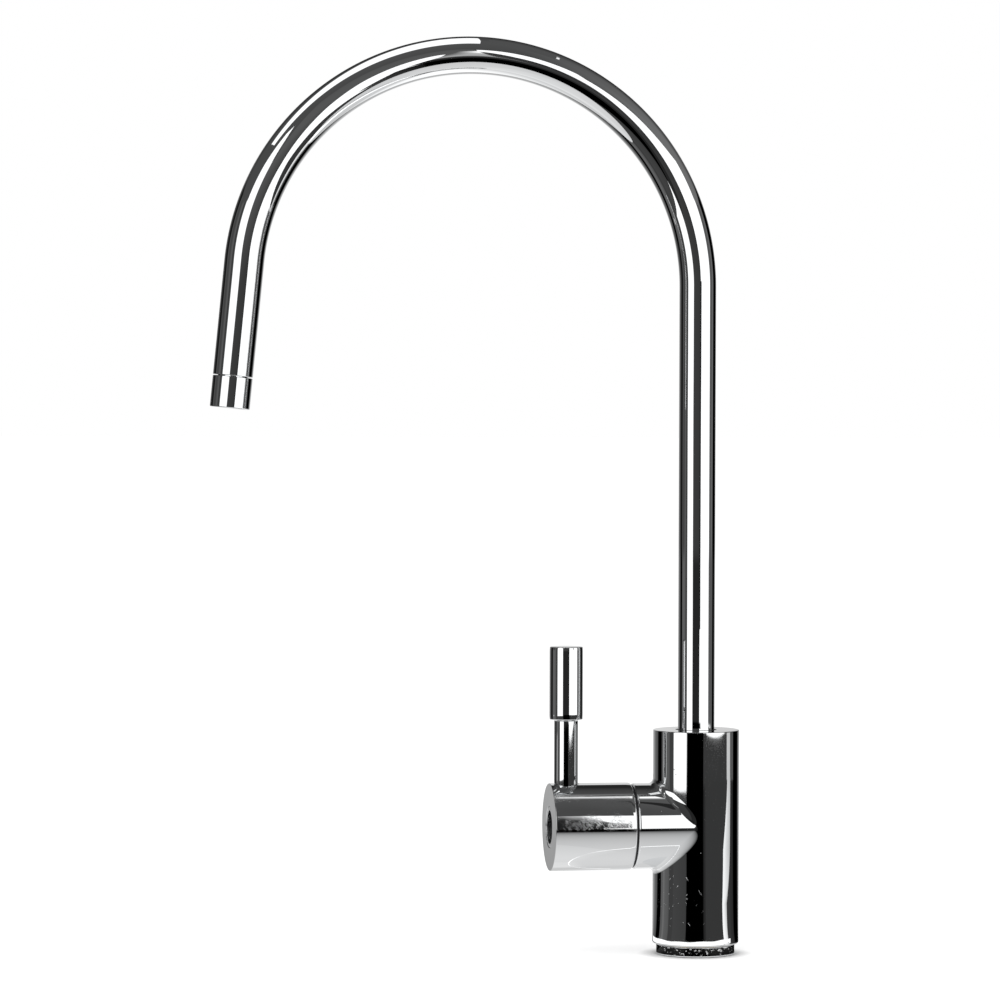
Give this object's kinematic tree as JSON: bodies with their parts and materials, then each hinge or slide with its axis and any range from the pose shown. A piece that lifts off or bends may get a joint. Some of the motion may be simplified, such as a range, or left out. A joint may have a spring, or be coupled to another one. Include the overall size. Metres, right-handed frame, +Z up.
{
  "type": "filtered water tap",
  "caption": "Deck-mounted swan-neck tap for filtered water, with a swivelling spout, one side lever on a horizontal barrel, and a ceramic disc valve that selects between supplies.",
  "frame": {"origin": "on the body's axis, at the worktop's upper face, which is the underside of the base gasket", "axes": "+Z up along the body and the riser; the lever barrel and the outlet point along -X; the grub screw that holds the spout is on the +Y side"},
  "size_m": [0.1752, 0.031, 0.3537],
  "materials": {
    "chrome": "polished chrome plate",
    "brass": "machined brass",
    "steel": "plain stainless steel",
    "ceramic": "lapped alumina",
    "rubber": "black rubber",
    "acetal": "black acetal",
    "white_plastic": "white moulded plastic"
  },
  "bodies": {
    "tap_body": {"body": "chrome", "base_ring": "chrome", "base_gasket": "rubber", "threaded_shank": "brass", "deck_rubber_washer": "rubber", "deck_clamp_washer": "steel", "lock_nut": "brass", "spout_dust_seal": "acetal", "spout_grub_screw": "steel", "cartridge_seal": "rubber", "fixed_disc": "ceramic", "cartridge_housing": "brass", "cartridge_nut": "brass", "barrel_glide_ring": "acetal"},
    "spout": {"spout_tube": "chrome", "spout_spigot": "brass", "spout_o_ring_lower": "rubber", "spout_o_ring_upper": "rubber", "spout_nozzle": "chrome", "aerator_washer": "rubber", "aerator_insert": "white_plastic"},
    "lever": {"handle_barrel": "chrome", "handle_end_ring": "chrome", "handle_washer": "steel", "handle_screw": "steel", "lever_stem": "chrome", "lever_grip": "chrome", "valve_spindle": "brass", "moving_disc": "ceramic", "spindle_friction_washer": "white_plastic", "spindle_o_ring_inner": "rubber", "spindle_o_ring_outer": "rubber", "spindle_circlip": "steel"}
  },
  "joints": [
    {"name": "spout_swivel", "type": "hinge", "parent": "tap_body", "child": "spout", "pos_m": [0, 0, 0.0735], "axis": [0, 0, 1], "continuous": true},
    {"name": "lever_turn", "type": "hinge", "parent": "tap_body", "child": "lever", "pos_m": [-0.0432, 0, 0.042], "axis": [1, 0, 0], "range_deg": [-90, 90]}
  ]
}
